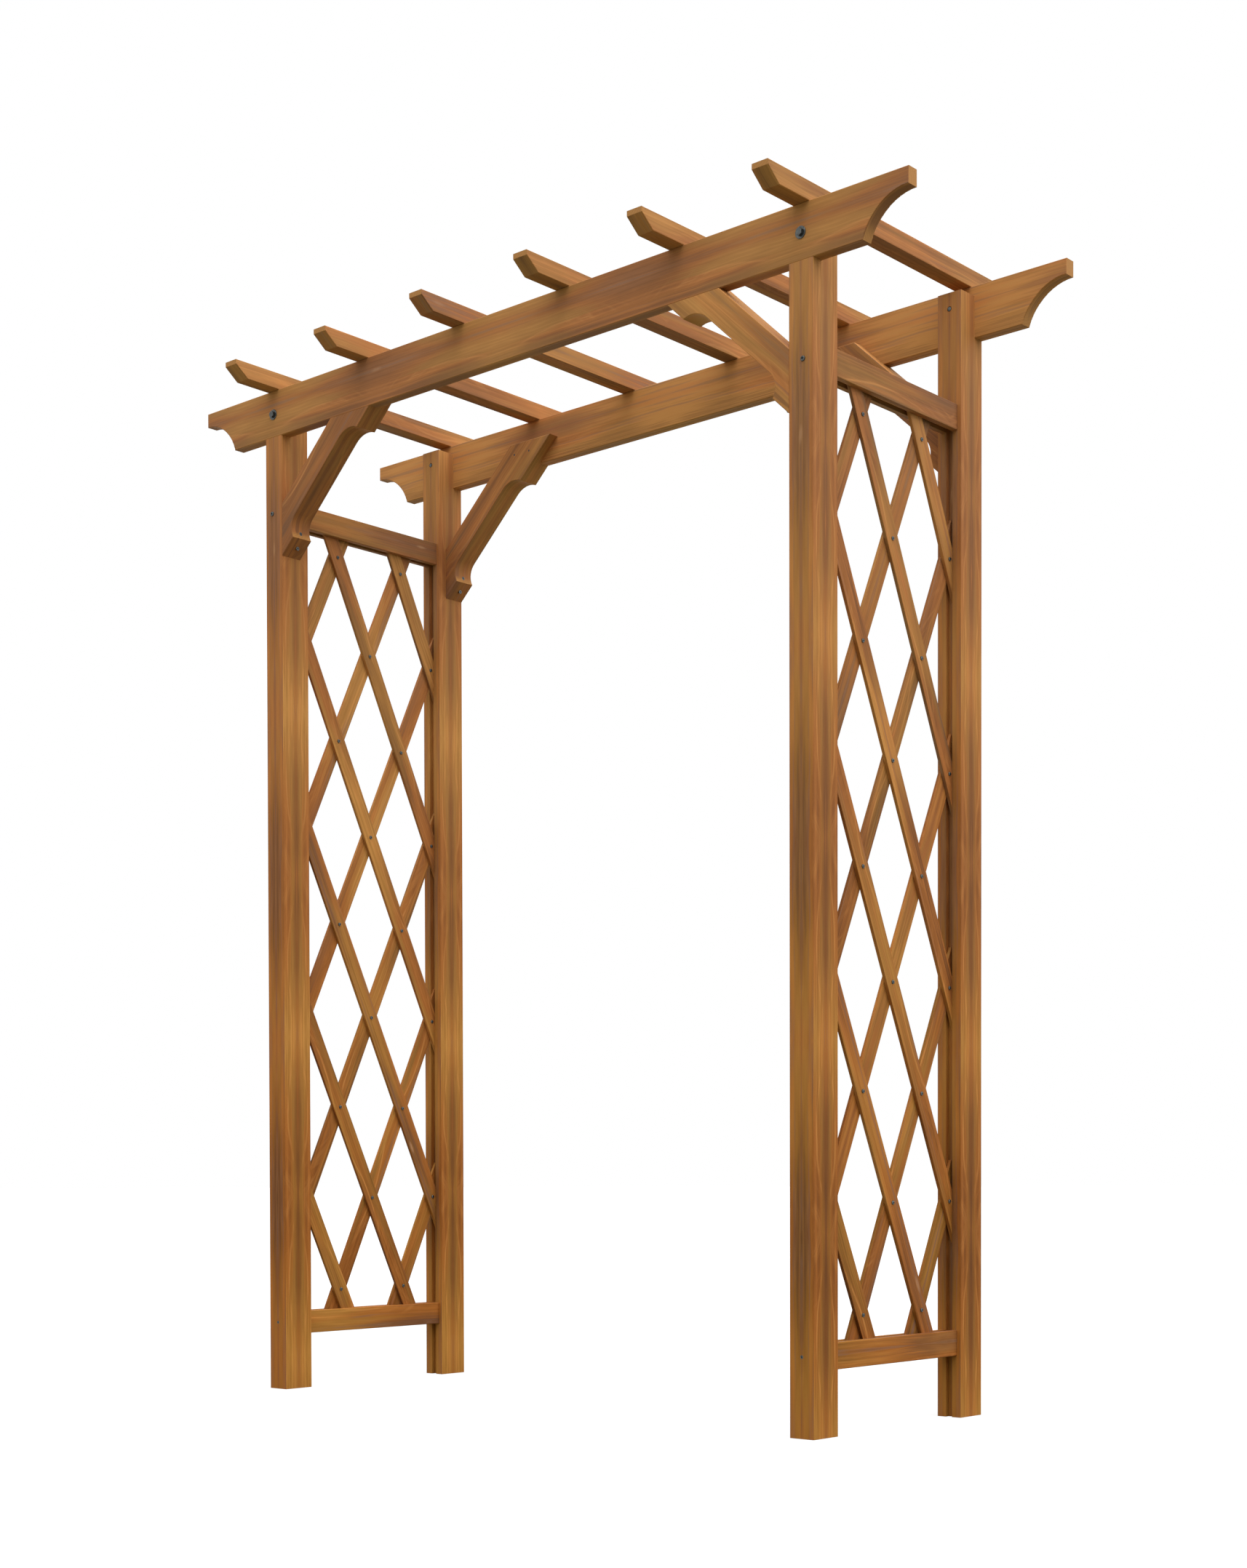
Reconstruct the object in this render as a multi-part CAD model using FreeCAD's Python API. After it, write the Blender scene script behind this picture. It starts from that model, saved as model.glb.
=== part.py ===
import FreeCAD, Part
import math
import os

# Garden arbor: posts with lattice sides, two bolted beams, knee braces and a row of rafters.
# Millimetres. X runs along the beams, Y through the arbor with the front at -Y, Z up from the ground.

# Posts
FRAME_WIDTH = 1540.0  # outside to outside of the posts along the beams
FRAME_DEPTH = 565.0  # outside to outside of the posts through the arbor
POST_WIDTH = 55.0
POST_DEPTH = 76.0
POST_SHOULDER_HEIGHT = 2152.5  # ground to the shoulder that carries the beam
POST_TONGUE_RISE = 82.5  # tongue behind the beam, above the shoulder

# Rounding along the edges of the timber
EDGE_RADIUS = 1.5
SLAT_EDGE_RADIUS = 1.0

# Beams
BEAM_LENGTH = 1956.0
BEAM_THICKNESS = 27.0
BEAM_HEIGHT = 103.5
BEAM_END_HEIGHT = 31.0  # square end face left above the cove
COVE_RADIUS = 102.5

# Rafters
RAFTER_COUNT = 6
RAFTER_WIDTH = 38.0
RAFTER_HEIGHT = 36.0
RAFTER_OVERHANG = 121.0  # tip past the beam's outer face
RAFTER_TIP_HEIGHT = 10.3  # square tip left above the slanted cut
RAFTER_TIP_CUT = 32.8  # length of the slanted cut along the rafter

# Knee braces
BRACE_THICKNESS = 53.5
BRACE_WIDTH = 86.5  # across the board at both ends
BRACE_WAIST = 55.0  # across the board between the two curved cuts
BRACE_ANGLE = 42.9  # degrees above level
BRACE_DROP = 153.0  # upper edge meets the post this far under the beam
BRACE_FOOT_LENGTH = 52.2  # full width left along the lower edge, at the post
BRACE_HEAD_LENGTH = 54.7  # full width left along the lower edge, up to the beam
BRACE_FOOT_RADIUS = 39.4
BRACE_HEAD_RADIUS = 55.8
BRACE_LAP_RISE = 51.0  # lap up the beam's inner face

# Side rails
RAIL_THICKNESS = 38.0
RAIL_HEIGHT = 51.0
TOP_RAIL_DROP = 192.5  # underside of the top rail, under the shoulders of the posts
BOTTOM_RAIL_UNDERSIDE = 123.5

# Lattice
LATTICE_COLUMNS = 4
LATTICE_ROWS = 8
SLAT_WIDTH = 38.0
SLAT_THICKNESS = 7.0
LATTICE_SIDE_MARGIN = 9.5  # outer columns of crossings to the posts
LATTICE_TOP_MARGIN = 42.0  # first row of crossings under the top rail
LATTICE_BOTTOM_MARGIN = 45.0  # last row of crossings over the bottom rail
GROOVE_DEPTH = 10.0
GROOVE_CLEARANCE = 0.2  # each side of the lattice
GROOVE_END_GAP = 2.0  # slat end to the bottom of the groove

# Beam bolts
BOLT_RISE = 50.5  # above the post's shoulder
BOLT_DIAMETER = 8.0
BOLT_HOLE_CLEARANCE = 1.0  # all round
BOLT_HEAD_FLATS = 13.0
BOLT_HEAD_HEIGHT = 5.5
BOLT_END = 1.0  # past the inner face of the tongue
WASHER_DIAMETER = 23.0
WASHER_THICKNESS = 2.0
WASHER_CLEARANCE = 0.3  # all round the bolt

# Screws: pan heads on the top rails and the lattice, countersunk elsewhere
SCREW_CLEARANCE = 0.1  # all round, at the head, the shank and the tip
SCREW_TIP = 4.0  # length of the pointed tip
PAN_HEIGHT = 0.56  # of the head's radius
PAN_CROWN = 0.72  # radius of the flat top, of the head's radius
RAIL_SCREW_BITE = 35.0  # into the end of the rail
TOP_RAIL_SCREW_HEAD = 10.0
TOP_RAIL_SCREW_SHANK = 5.0
TOP_RAIL_SCREW_RISE = 17.5  # above the rail's underside
TOP_RAIL_SCREW_STAGGER = 3.8  # up at one end of the rail and down at the other
TOP_RAIL_SCREW_OUT = 5.0  # outwards from the middle of the post
BOTTOM_RAIL_SCREW_HEAD = 7.0
BOTTOM_RAIL_SCREW_SHANK = 4.0
BOTTOM_RAIL_SCREW_RISE = 27.5
BRACE_SCREW_HEAD = 8.5
BRACE_SCREW_SHANK = 4.5
BRACE_POST_BITE = 28.0
BRACE_BEAM_BITE = 18.0
BRACE_CURVE_SCREW_RISE = 12.0  # above the corner where the foot's curve starts
BRACE_EDGE_SCREW_RISE = 17.0  # above the lowest point of the brace
BRACE_BEAM_SCREW_HEAD = 4.6
BRACE_BEAM_SCREW_SHANK = 3.0
BRACE_BEAM_SCREW_RISE = 26.0  # above the underside of the beam
BRACE_BEAM_SCREW_INSET = 40.0  # in from the upper edge, along the beam
BRACE_BEAM_SCREW_SPACING = 47.0
RAFTER_SCREW_HEAD = 8.5
RAFTER_SCREW_SHANK = 4.5
RAFTER_SCREW_BITE = 30.0  # into the top of the beam
SLAT_SCREW_HEAD = 8.0
SLAT_SCREW_SHANK = 3.5
SLAT_SCREW_SHORT = 1.0  # tip to the far face of the lattice
SLAT_SCREW_TIP = 2.0

# Places that follow from the sizes
HALF_WIDTH = FRAME_WIDTH / 2
HALF_DEPTH = FRAME_DEPTH / 2
POST_FACE_X = HALF_WIDTH - POST_WIDTH  # inner face, towards the passage
POST_FACE_Y = HALF_DEPTH - POST_DEPTH  # inner face, towards the lattice
POST_CENTRE_X = HALF_WIDTH - POST_WIDTH / 2
BEAM_INNER_Y = HALF_DEPTH - BEAM_THICKNESS
BEAM_CENTRE_Y = HALF_DEPTH - BEAM_THICKNESS / 2
BEAM_TOP = POST_SHOULDER_HEIGHT + BEAM_HEIGHT
RAFTER_TOP = BEAM_TOP + RAFTER_HEIGHT
RAFTER_HALF_LENGTH = HALF_DEPTH + RAFTER_OVERHANG
RAFTER_SPACING = 2 * POST_CENTRE_X / (RAFTER_COUNT - 1)
RAFTER_PLACES = [-POST_CENTRE_X + i * RAFTER_SPACING for i in range(RAFTER_COUNT)]
BOLT_HEIGHT = POST_SHOULDER_HEIGHT + BOLT_RISE
TOP_RAIL_UNDERSIDE = POST_SHOULDER_HEIGHT - TOP_RAIL_DROP
BOTTOM_RAIL_TOP = BOTTOM_RAIL_UNDERSIDE + RAIL_HEIGHT
GROOVE_WIDTH = 2 * (SLAT_THICKNESS + GROOVE_CLEARANCE)
GROOVE_TOP = TOP_RAIL_UNDERSIDE + GROOVE_DEPTH
SLAT_REACH = GROOVE_DEPTH - GROOVE_END_GAP
COLUMN_PITCH = 2 * (POST_FACE_Y - LATTICE_SIDE_MARGIN) / LATTICE_COLUMNS
FIRST_ROW = TOP_RAIL_UNDERSIDE - LATTICE_TOP_MARGIN
LAST_ROW = BOTTOM_RAIL_TOP + LATTICE_BOTTOM_MARGIN
ROW_PITCH = (FIRST_ROW - LAST_ROW) / LATTICE_ROWS

SIDES = {"left": -1, "right": 1}
FACES = {"front": -1, "back": 1}
RAIL_LEVELS = ("top", "bottom")


def vec(x, y, z):
    return FreeCAD.Vector(x, y, z)


def block(x_span, y_span, z_span):
    """Box between two places on each axis, given in either order."""
    low = vec(min(x_span), min(y_span), min(z_span))
    size = [abs(span[1] - span[0]) for span in (x_span, y_span, z_span)]
    return Part.makeBox(size[0], size[1], size[2], low)


def cut_all(shape, cutters):
    return shape.cut(Part.makeCompound(cutters)).removeSplitter()


def eased_along(shape, grain, radius):
    """Round the edges that run along the grain."""
    edges = [e for e in shape.Edges if abs(e.tangentAt(e.FirstParameter).dot(grain)) > 0.99]
    return shape.makeFillet(radius, edges)


def eased_outline(shape, across):
    """Round the edges of a shaped board that lie round its two flat sides, which are square to across."""
    edges = [e for e in shape.Edges if abs(e.tangentAt(e.FirstParameter).dot(across)) < 0.01]
    return shape.makeFillet(EDGE_RADIUS, edges)


def driven(shape, head, direction):
    """Turn a fastener that stands head up at the origin so that it is driven at head, along direction."""
    placed = shape.copy()
    placed.Placement = FreeCAD.Placement(head, FreeCAD.Rotation(vec(0, 0, -1), direction))
    return placed


def turned(profile):
    """Solid of revolution about Z from (radius, height) points."""
    wire = Part.makePolygon([vec(r, 0, z) for r, z in profile + profile[:1]])
    return Part.Face(wire).revolve(vec(0, 0, 0), vec(0, 0, 1), 360)


# Screws and their holes
class Screw:
    """Countersunk screw, driven along a line, and the hole that it takes."""

    def __init__(self, head, shank, length, tip=SCREW_TIP):
        self.head_radius = head / 2
        self.shank_radius = shank / 2
        self.length = length
        self.tip = tip

    def shaft(self, grow):
        """Half section of the tip and the start of the shank."""
        end = self.length + grow
        return [(0, -end), (self.shank_radius + grow, self.tip - end)]

    def outline(self, grow):
        seat = self.head_radius - self.shank_radius
        top = [(self.shank_radius + grow, -seat), (self.head_radius + grow, 0), (0, 0)]
        return self.shaft(grow) + top

    def solid(self, head, direction):
        return driven(turned(self.outline(0)), head, direction)

    def hole(self, head, direction, pocket=SCREW_CLEARANCE):
        """Hole with its countersink, and a round pocket over the head."""
        sunk = turned(self.outline(SCREW_CLEARANCE))
        over = Part.makeCylinder(self.head_radius + SCREW_CLEARANCE, pocket)
        return driven(sunk.fuse(over), head, direction)


class PanScrew(Screw):
    """Screw with a pan head that stands on the wood."""

    def outline(self, grow):
        head = self.head_radius
        height = PAN_HEIGHT * head
        rim = [(self.shank_radius + grow, 0), (head, 0), (head, height / 2)]
        return self.shaft(grow) + rim + [(PAN_CROWN * head, height), (0, height)]

    def hole(self, head, direction):
        """Plain hole for the shank."""
        mouth = [(self.shank_radius + SCREW_CLEARANCE, SCREW_CLEARANCE), (0, SCREW_CLEARANCE)]
        return driven(turned(self.shaft(SCREW_CLEARANCE) + mouth), head, direction)


def rail_screws():
    """Each screw with its head, direction, side, face and rail."""
    length = POST_DEPTH + RAIL_SCREW_BITE
    top_screw = PanScrew(TOP_RAIL_SCREW_HEAD, TOP_RAIL_SCREW_SHANK, length)
    bottom_screw = Screw(BOTTOM_RAIL_SCREW_HEAD, BOTTOM_RAIL_SCREW_SHANK, length)
    top_x = POST_CENTRE_X + TOP_RAIL_SCREW_OUT
    top_z = TOP_RAIL_UNDERSIDE + TOP_RAIL_SCREW_RISE
    bottom_z = BOTTOM_RAIL_UNDERSIDE + BOTTOM_RAIL_SCREW_RISE
    for side, sx in SIDES.items():
        for face, sy in FACES.items():
            way = vec(0, -sy, 0)
            top_head = vec(sx * top_x, sy * HALF_DEPTH, top_z + sx * sy * TOP_RAIL_SCREW_STAGGER)
            yield top_screw, top_head, way, side, face, "top"
            yield bottom_screw, vec(sx * POST_CENTRE_X, sy * HALF_DEPTH, bottom_z), way, side, face, "bottom"


def rafter_screws():
    """Each screw with its head, rafter number and face."""
    screw = Screw(RAFTER_SCREW_HEAD, RAFTER_SCREW_SHANK, RAFTER_HEIGHT + RAFTER_SCREW_BITE)
    for number, x in enumerate(RAFTER_PLACES):
        for face, sy in FACES.items():
            yield screw, vec(x, sy * BEAM_CENTRE_Y, RAFTER_TOP), number, face


# Knee brace, drawn out from the post's face and up from the underside of the beam
SLOPE = math.tan(math.radians(BRACE_ANGLE))
ALONG = vec(math.cos(math.radians(BRACE_ANGLE)), 0, math.sin(math.radians(BRACE_ANGLE)))
INWARD = vec(ALONG.z, 0, -ALONG.x)  # square to the board, towards its lower edge
BRACE_LOW = BRACE_DROP + BRACE_WIDTH / ALONG.x  # lowest point, under the beam
BRACE_RELIEF = BRACE_WIDTH - BRACE_WAIST
FOOT_CORNER = vec(0, 0, -BRACE_LOW) + ALONG * BRACE_FOOT_LENGTH
HEAD_CORNER = vec(BRACE_LOW / SLOPE, 0, 0) - ALONG * BRACE_HEAD_LENGTH


def relief_arc(corner, radius, towards):
    """Curve from a corner on the lower edge to the waist, ending in line with it; also its centre."""
    run = math.sqrt(2 * radius * BRACE_RELIEF - BRACE_RELIEF ** 2)
    end = corner + towards * run - INWARD * BRACE_RELIEF
    centre = end + INWARD * radius
    middle = (corner + end) * 0.5 - centre
    middle.normalize()
    return Part.Arc(corner, centre + middle * radius, end), end, centre


def brace_outline():
    foot_arc, foot_end, _ = relief_arc(FOOT_CORNER, BRACE_FOOT_RADIUS, ALONG)
    head_arc, head_end, _ = relief_arc(HEAD_CORNER, BRACE_HEAD_RADIUS, -ALONG)
    upper_edge_top = vec((BRACE_DROP + BRACE_LAP_RISE) / SLOPE, 0, BRACE_LAP_RISE)
    lower_edge_top = vec((BRACE_LOW + BRACE_LAP_RISE) / SLOPE, 0, BRACE_LAP_RISE)
    upper_edge_foot = vec(0, 0, -BRACE_DROP)
    lowest_point = vec(0, 0, -BRACE_LOW)
    corners = [HEAD_CORNER, lower_edge_top, upper_edge_top, upper_edge_foot, lowest_point, FOOT_CORNER]
    edges = [Part.LineSegment(a, b).toShape() for a, b in zip(corners, corners[1:])]
    edges += [foot_arc.toShape(), Part.LineSegment(foot_end, head_end).toShape(), head_arc.toShape()]
    return Part.Wire(Part.__sortEdges__(edges))


def brace_point(sx, sy, out, inset, rise):
    """Point that lies out from the post's face, inset from the arbor's outer face and above the shoulder."""
    return vec(sx * (POST_FACE_X - out), sy * (HALF_DEPTH - inset), POST_SHOULDER_HEIGHT + rise)


def brace_post_screws(sx, sy):
    """Two level screws into the post: one through the foot's curve, one with its head at the lower edge."""
    _, _, centre = relief_arc(FOOT_CORNER, BRACE_FOOT_RADIUS, ALONG)
    curve_rise = FOOT_CORNER.z + BRACE_CURVE_SCREW_RISE
    curve_out = centre.x - math.sqrt(BRACE_FOOT_RADIUS ** 2 - (curve_rise - centre.z) ** 2)
    edge_rise = -BRACE_LOW + BRACE_EDGE_SCREW_RISE
    edge_out = (BRACE_EDGE_SCREW_RISE + BRACE_SCREW_HEAD / 2 + 2 * SCREW_CLEARANCE) / SLOPE
    for out, rise in ((curve_out, curve_rise), (edge_out, edge_rise)):
        screw = Screw(BRACE_SCREW_HEAD, BRACE_SCREW_SHANK, out + BRACE_POST_BITE)
        yield screw, brace_point(sx, sy, out, BRACE_THICKNESS / 2, rise), vec(sx, 0, 0)


def brace_beam_screws(sx, sy):
    """Two screws through the lap into the beam."""
    length = BRACE_THICKNESS - BEAM_THICKNESS + BRACE_BEAM_BITE
    screw = Screw(BRACE_BEAM_SCREW_HEAD, BRACE_BEAM_SCREW_SHANK, length)
    first = (BRACE_DROP + BRACE_BEAM_SCREW_RISE) / SLOPE + BRACE_BEAM_SCREW_INSET
    for out in (first, first + BRACE_BEAM_SCREW_SPACING):
        yield screw, brace_point(sx, sy, out, BRACE_THICKNESS, BRACE_BEAM_SCREW_RISE), vec(0, sy, 0)


def brace(sx, sy):
    depth = vec(0, -sy * BRACE_THICKNESS, 0)
    board = eased_outline(Part.Face(brace_outline()).extrude(depth), vec(0, 1, 0))
    if sx > 0:
        board = board.mirror(vec(0, 0, 0), vec(1, 0, 0))
    board.translate(brace_point(sx, sy, 0, 0, 0))
    beam_seat = block(
        (-BEAM_LENGTH, BEAM_LENGTH),
        (sy * HALF_DEPTH, sy * BEAM_INNER_Y),
        (POST_SHOULDER_HEIGHT, BEAM_TOP),
    )
    holes = [screw.hole(head, way, BRACE_WIDTH) for screw, head, way in brace_post_screws(sx, sy)]
    holes += [screw.hole(head, way) for screw, head, way in brace_beam_screws(sx, sy)]
    return cut_all(board, [beam_seat] + holes)


# Beam bolts with their washers
def bolt_head(sx, sy):
    """Centre of the beam's outer face at the bolt, and the way that the bolt goes in."""
    return vec(sx * POST_CENTRE_X, sy * HALF_DEPTH, BOLT_HEIGHT), vec(0, -sy, 0)


def beam_bolt(sx, sy):
    corner_radius = BOLT_HEAD_FLATS / 2 / math.cos(math.pi / 6)
    turns = [k * math.pi / 3 for k in range(7)]
    corners = [
        vec(corner_radius * math.sin(turn), corner_radius * math.cos(turn), WASHER_THICKNESS)
        for turn in turns
    ]
    head = Part.Face(Part.makePolygon(corners)).extrude(vec(0, 0, BOLT_HEAD_HEIGHT))
    shank_length = WASHER_THICKNESS + POST_DEPTH + BOLT_END
    shank = Part.makeCylinder(BOLT_DIAMETER / 2, shank_length, vec(0, 0, WASHER_THICKNESS), vec(0, 0, -1))
    return driven(head.fuse(shank).removeSplitter(), *bolt_head(sx, sy))


def bolt_washer(sx, sy):
    disc = Part.makeCylinder(WASHER_DIAMETER / 2, WASHER_THICKNESS)
    bore = Part.makeCylinder(BOLT_DIAMETER / 2 + WASHER_CLEARANCE, WASHER_THICKNESS)
    return driven(disc.cut(bore), *bolt_head(sx, sy))


def bolt_hole(sx, sy):
    radius = BOLT_DIAMETER / 2 + BOLT_HOLE_CLEARANCE
    return driven(Part.makeCylinder(radius, POST_DEPTH, vec(0, 0, 0), vec(0, 0, -1)), *bolt_head(sx, sy))


# Posts, beams, rafters and rails
def post(side, face):
    sx = SIDES[side]
    sy = FACES[face]
    top = POST_SHOULDER_HEIGHT + POST_TONGUE_RISE
    timber = block((sx * POST_FACE_X, sx * HALF_WIDTH), (sy * POST_FACE_Y, sy * HALF_DEPTH), (0, top))
    timber = eased_along(timber, vec(0, 0, 1), EDGE_RADIUS)
    beam_seat = block(
        (sx * POST_FACE_X, sx * HALF_WIDTH),
        (sy * BEAM_INNER_Y, sy * HALF_DEPTH),
        (POST_SHOULDER_HEIGHT, top),
    )
    centre = sx * POST_CENTRE_X
    groove = block(
        (centre - GROOVE_WIDTH / 2, centre + GROOVE_WIDTH / 2),
        (sy * POST_FACE_Y, sy * (POST_FACE_Y + GROOVE_DEPTH)),
        (0, GROOVE_TOP),
    )
    holes = [bolt_hole(sx, sy)]
    holes += [s.hole(head, way) for s, head, way, at, on, _ in rail_screws() if (at, on) == (side, face)]
    holes += [s.hole(head, way) for s, head, way in brace_post_screws(sx, sy)]
    return cut_all(timber, [beam_seat, groove] + holes)


def beam(face):
    sy = FACES[face]
    half = BEAM_LENGTH / 2
    plank = block((-half, half), (sy * BEAM_INNER_Y, sy * HALF_DEPTH), (POST_SHOULDER_HEIGHT, BEAM_TOP))
    cove_centre = BEAM_TOP - BEAM_END_HEIGHT - COVE_RADIUS
    coves = [
        Part.makeCylinder(COVE_RADIUS, FRAME_DEPTH, vec(sx * half, -HALF_DEPTH, cove_centre), vec(0, 1, 0))
        for sx in SIDES.values()
    ]
    shaped = eased_outline(cut_all(plank, coves), vec(0, 1, 0))
    holes = [bolt_hole(sx, sy) for sx in SIDES.values()]
    for sx in SIDES.values():
        holes += [s.hole(head, way) for s, head, way in brace_beam_screws(sx, sy)]
    holes += [s.hole(head, vec(0, 0, -1)) for s, head, _, on in rafter_screws() if on == face]
    return cut_all(shaped, holes)


def rafter(number):
    tip_bottom = RAFTER_TOP - RAFTER_TIP_HEIGHT
    cut_start = RAFTER_HALF_LENGTH - RAFTER_TIP_CUT
    half_outline = [
        (cut_start, BEAM_TOP),
        (RAFTER_HALF_LENGTH, tip_bottom),
        (RAFTER_HALF_LENGTH, RAFTER_TOP),
    ]
    outline = half_outline + [(-y, z) for y, z in reversed(half_outline)]
    left = RAFTER_PLACES[number] - RAFTER_WIDTH / 2
    wire = Part.makePolygon([vec(left, y, z) for y, z in outline + outline[:1]])
    timber = eased_outline(Part.Face(wire).extrude(vec(RAFTER_WIDTH, 0, 0)), vec(1, 0, 0))
    holes = [s.hole(head, vec(0, 0, -1)) for s, head, at, _ in rafter_screws() if at == number]
    return cut_all(timber, holes)


def rail(side, level):
    centre = SIDES[side] * POST_CENTRE_X
    x_span = (centre - RAIL_THICKNESS / 2, centre + RAIL_THICKNESS / 2)
    groove_span = (centre - GROOVE_WIDTH / 2, centre + GROOVE_WIDTH / 2)
    y_span = (-POST_FACE_Y, POST_FACE_Y)
    if level == "top":
        z_span = (TOP_RAIL_UNDERSIDE, TOP_RAIL_UNDERSIDE + RAIL_HEIGHT)
        groove = block(groove_span, y_span, (TOP_RAIL_UNDERSIDE, GROOVE_TOP))
    else:
        z_span = (BOTTOM_RAIL_UNDERSIDE, BOTTOM_RAIL_TOP)
        groove = block(groove_span, y_span, (BOTTOM_RAIL_TOP - GROOVE_DEPTH, BOTTOM_RAIL_TOP))
    holes = [s.hole(head, way) for s, head, way, at, _, on in rail_screws() if (at, on) == (side, level)]
    timber = eased_along(block(x_span, y_span, z_span), vec(0, 1, 0), EDGE_RADIUS)
    return cut_all(timber, [groove] + holes)


# Lattice: two layers of slats, screwed at each crossing
CROSSINGS = [
    (column, row)
    for column in range(LATTICE_COLUMNS + 1)
    for row in range(LATTICE_ROWS + 1)
    if (column + row) % 2 == 1
]
# The slats of the outer layer run down towards the back, where column minus row stays the same.
# Those of the inner layer run up towards the back, where column plus row stays the same.
DOWN_LINES = range(1 - LATTICE_ROWS, LATTICE_COLUMNS, 2)
UP_LINES = range(1, LATTICE_COLUMNS + LATTICE_ROWS, 2)


def crossing_place(column, row):
    """Y and Z of a crossing."""
    return (column - LATTICE_COLUMNS / 2) * COLUMN_PITCH, FIRST_ROW - row * ROW_PITCH


def lattice_screws(side):
    """Each screw with its head and the column and row of its crossing."""
    length = 2 * SLAT_THICKNESS - SLAT_SCREW_SHORT
    screw = PanScrew(SLAT_SCREW_HEAD, SLAT_SCREW_SHANK, length, SLAT_SCREW_TIP)
    outer_face = SIDES[side] * POST_CENTRE_X + SLAT_THICKNESS
    for column, row in CROSSINGS:
        y, z = crossing_place(column, row)
        yield screw, vec(outer_face, y, z), column, row


def slat(side, layer, line):
    """One slat, cut to length inside the grooves of the posts and rails."""
    middle = SIDES[side] * POST_CENTRE_X
    turn = 1 if layer == "down" else -1
    outer = middle + SLAT_THICKNESS * turn
    reach_y = POST_FACE_Y + SLAT_REACH
    z_span = (BOTTOM_RAIL_TOP - SLAT_REACH, TOP_RAIL_UNDERSIDE + SLAT_REACH)
    window = block((middle, outer), (-reach_y, reach_y), z_span)
    mid_column = LATTICE_COLUMNS / 2
    y, z = crossing_place(mid_column, (mid_column - line) * turn)
    half_length = FRAME_DEPTH + POST_SHOULDER_HEIGHT
    strip = block((middle, outer), (-SLAT_WIDTH / 2, SLAT_WIDTH / 2), (-half_length, half_length))
    strip = eased_along(strip, vec(0, 0, 1), SLAT_EDGE_RADIUS)
    lean = turn * math.degrees(math.atan2(COLUMN_PITCH, ROW_PITCH))
    strip.rotate(vec(0, 0, 0), vec(1, 0, 0), lean)
    strip.translate(vec(0, y, z))
    holes = [
        screw.hole(head, vec(-1, 0, 0))
        for screw, head, column, row in lattice_screws(side)
        if column - turn * row == line
    ]
    return cut_all(strip.common(window), holes)


# Nodes
def wood_nodes():
    nodes = {}
    for side, sx in SIDES.items():
        for face, sy in FACES.items():
            nodes[f"post_{face}_{side}"] = post(side, face)
            nodes[f"brace_{face}_{side}"] = brace(sx, sy)
        for level in RAIL_LEVELS:
            nodes[f"{level}_rail_{side}"] = rail(side, level)
        for layer, lines in (("down", DOWN_LINES), ("up", UP_LINES)):
            for number, line in enumerate(lines, 1):
                nodes[f"slat_{side}_{layer}_{number}"] = slat(side, layer, line)
    for face in FACES:
        nodes[f"beam_{face}"] = beam(face)
    for number in range(RAFTER_COUNT):
        nodes[f"rafter_{number + 1}"] = rafter(number)
    return nodes


def fastener_nodes():
    corners = [(sx, sy) for sx in SIDES.values() for sy in FACES.values()]
    groups = {
        "beam_bolts": [beam_bolt(sx, sy) for sx, sy in corners],
        "bolt_washers": [bolt_washer(sx, sy) for sx, sy in corners],
        "rail_screws": [s.solid(head, way) for s, head, way, *_ in rail_screws()],
        "brace_post_screws": [
            s.solid(head, way) for sx, sy in corners for s, head, way in brace_post_screws(sx, sy)
        ],
        "brace_beam_screws": [
            s.solid(head, way) for sx, sy in corners for s, head, way in brace_beam_screws(sx, sy)
        ],
        "rafter_screws": [s.solid(head, vec(0, 0, -1)) for s, head, *_ in rafter_screws()],
    }
    for side in SIDES:
        groups[f"lattice_screws_{side}"] = [
            s.solid(head, vec(-1, 0, 0)) for s, head, *_ in lattice_screws(side)
        ]
    return {name: Part.makeCompound(solids) for name, solids in groups.items()}


def main():
    os.makedirs("parts", exist_ok=True)
    for name, shape in {**wood_nodes(), **fastener_nodes()}.items():
        shape.exportStep(f"parts/{name}.step")
        print(name, len(shape.Solids), "solids, valid", shape.isValid(), round(shape.Volume))


main()
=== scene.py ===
import math
import random

import bmesh
import bpy
from mathutils import Euler, Matrix, Vector


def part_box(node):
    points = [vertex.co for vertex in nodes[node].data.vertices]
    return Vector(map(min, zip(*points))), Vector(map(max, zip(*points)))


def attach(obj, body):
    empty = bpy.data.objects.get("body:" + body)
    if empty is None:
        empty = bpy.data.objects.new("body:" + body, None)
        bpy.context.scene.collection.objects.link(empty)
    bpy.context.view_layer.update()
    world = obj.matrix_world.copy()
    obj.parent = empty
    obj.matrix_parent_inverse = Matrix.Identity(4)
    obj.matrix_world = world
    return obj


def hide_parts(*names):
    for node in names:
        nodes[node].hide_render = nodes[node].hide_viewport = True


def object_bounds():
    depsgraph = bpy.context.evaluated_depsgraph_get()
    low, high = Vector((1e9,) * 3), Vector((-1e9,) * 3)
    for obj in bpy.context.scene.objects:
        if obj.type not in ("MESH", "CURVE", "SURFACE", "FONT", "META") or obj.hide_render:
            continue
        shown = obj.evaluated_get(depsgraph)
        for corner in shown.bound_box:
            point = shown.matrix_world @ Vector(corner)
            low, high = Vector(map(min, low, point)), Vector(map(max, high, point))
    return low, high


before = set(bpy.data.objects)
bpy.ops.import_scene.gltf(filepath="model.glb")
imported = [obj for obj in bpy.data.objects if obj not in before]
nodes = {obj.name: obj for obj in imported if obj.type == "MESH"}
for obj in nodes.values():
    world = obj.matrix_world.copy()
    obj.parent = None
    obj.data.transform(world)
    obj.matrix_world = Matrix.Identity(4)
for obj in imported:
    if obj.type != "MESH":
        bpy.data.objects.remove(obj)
cad_low, cad_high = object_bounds()


def middle(name):
    """Middle of a node's box."""
    low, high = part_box(name)
    return (low + high) / 2


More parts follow.
